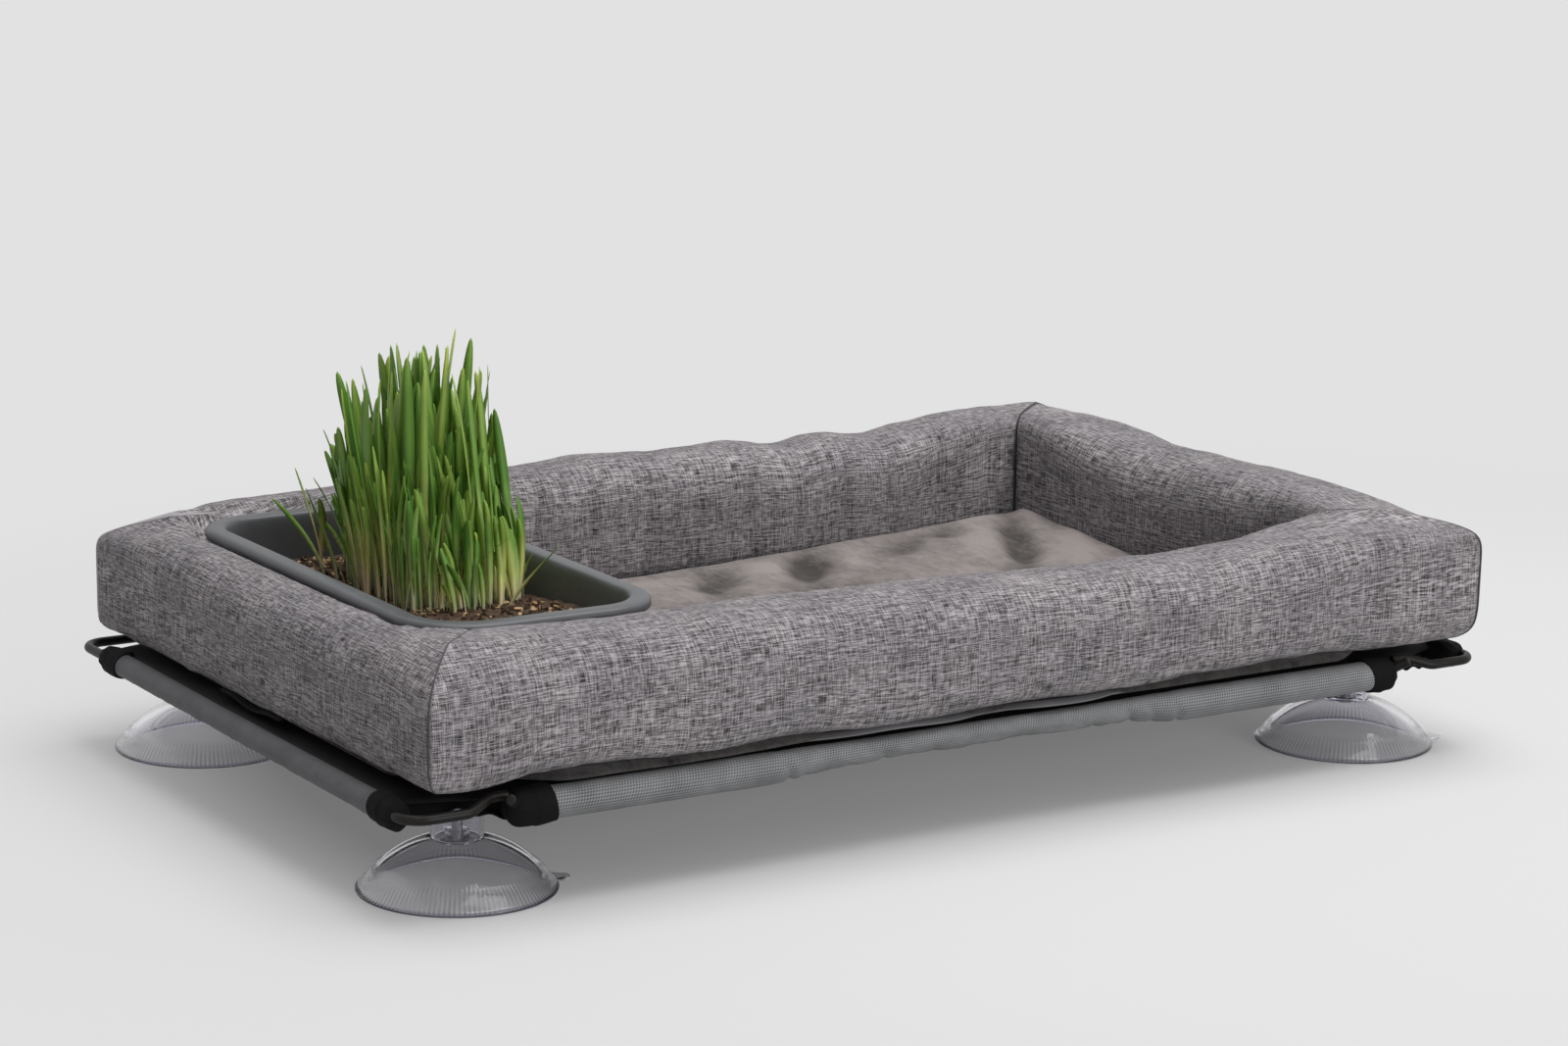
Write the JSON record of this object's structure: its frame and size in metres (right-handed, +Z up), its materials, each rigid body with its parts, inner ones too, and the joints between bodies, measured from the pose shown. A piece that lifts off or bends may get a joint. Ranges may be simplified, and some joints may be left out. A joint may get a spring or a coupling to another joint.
{
  "type": "window mounted cat perch",
  "caption": "Bolstered cat bed on a canvas sling and wire frame, held by suction cups, with a lift-out tray of cat grass.",
  "frame": {"origin": "on the surface that the four cup rims stand on, midway between the cups", "axes": "+X along the long side towards the end without the planter, +Y from the front rail to the rear rail, +Z up, away from the mounting surface"},
  "size_m": [0.6154, 0.3736, 0.2237],
  "materials": {
    "wire_black": "satin black powder coat on steel wire",
    "sling_canvas": "tight black nylon canvas",
    "binding_black": "black woven binding tape",
    "sleeve_canvas": "fine ribbed light grey polyester canvas",
    "foam": "closed-cell foam tube",
    "eyelet_metal": "pressed steel eyelet",
    "cup_clear": "clear soft vinyl with a faint violet tint",
    "neck_clear": "clear hard plastic",
    "stud_steel": "zinc plated steel",
    "mat_fleece": "short dark grey fleece",
    "cushion_plush": "brushed beige-grey plush fleece",
    "bolster_linen": "heathered grey linen-look weave",
    "strap_webbing": "black webbing",
    "planter_plastic": "matte dark grey plastic",
    "soil": "dark potting soil with husk bits",
    "grass": "fresh green blades, pale at the foot"
  },
  "bodies": {
    "frame": {"bow_left": "wire_black", "bow_right": "wire_black", "corner_binding_front_left": "binding_black", "corner_binding_front_right": "binding_black", "corner_binding_rear_left": "binding_black", "corner_binding_rear_right": "binding_black", "eyelet_front_left": "eyelet_metal", "eyelet_front_right": "eyelet_metal", "eyelet_rear_left": "eyelet_metal", "eyelet_rear_right": "eyelet_metal", "rail_front": "wire_black", "rail_rear": "wire_black", "sleeve_end_tapes": "binding_black", "sleeve_foam_front_left": "foam", "sleeve_foam_front_right": "foam", "sleeve_foam_rear_left": "foam", "sleeve_foam_rear_right": "foam", "sleeve_front": "sleeve_canvas", "sleeve_left": "sleeve_canvas", "sleeve_rear": "sleeve_canvas", "sleeve_right": "sleeve_canvas", "sling_panel": "sling_canvas"},
    "bed": {"base_mat": "mat_fleece", "bolster_front": "bolster_linen", "bolster_left": "bolster_linen", "bolster_rear": "bolster_linen", "bolster_right": "bolster_linen", "cushion": "cushion_plush", "side_strap_left": "strap_webbing", "side_strap_right": "strap_webbing"},
    "planter": {"planter_box": "planter_plastic", "soil": "soil", "cat_grass": "grass"},
    "cup_front_left": {"suction_cup_front_left": "cup_clear", "cup_neck_front_left": "neck_clear", "cup_stud_front_left": "stud_steel", "stud_washer_front_left": "stud_steel"},
    "cup_front_right": {"suction_cup_front_right": "cup_clear", "cup_neck_front_right": "neck_clear", "cup_stud_front_right": "stud_steel", "stud_washer_front_right": "stud_steel"},
    "cup_rear_left": {"suction_cup_rear_left": "cup_clear", "cup_neck_rear_left": "neck_clear", "cup_stud_rear_left": "stud_steel", "stud_washer_rear_left": "stud_steel"},
    "cup_rear_right": {"suction_cup_rear_right": "cup_clear", "cup_neck_rear_right": "neck_clear", "cup_stud_rear_right": "stud_steel", "stud_washer_rear_right": "stud_steel"}
  },
  "joints": [
    {"name": "cup_front_left_turn", "type": "hinge", "parent": "frame", "child": "cup_front_left", "pos_m": [-0.256, -0.1366, 0], "axis": [0, 0, 1], "continuous": true},
    {"name": "cup_front_right_turn", "type": "hinge", "parent": "frame", "child": "cup_front_right", "pos_m": [0.256, -0.1366, 0], "axis": [0, 0, 1], "continuous": true},
    {"name": "cup_rear_left_turn", "type": "hinge", "parent": "frame", "child": "cup_rear_left", "pos_m": [-0.256, 0.1366, 0], "axis": [0, 0, 1], "continuous": true},
    {"name": "cup_rear_right_turn", "type": "hinge", "parent": "frame", "child": "cup_rear_right", "pos_m": [0.256, 0.1366, 0], "axis": [0, 0, 1], "continuous": true},
    {"name": "bed_lift", "type": "slide", "parent": "frame", "child": "bed", "axis": [0, 0, 1], "range_m": [0, 0.15]},
    {"name": "planter_lift", "type": "slide", "parent": "bed", "child": "planter", "axis": [0, 0, 1], "range_m": [0, 0.12]}
  ]
}
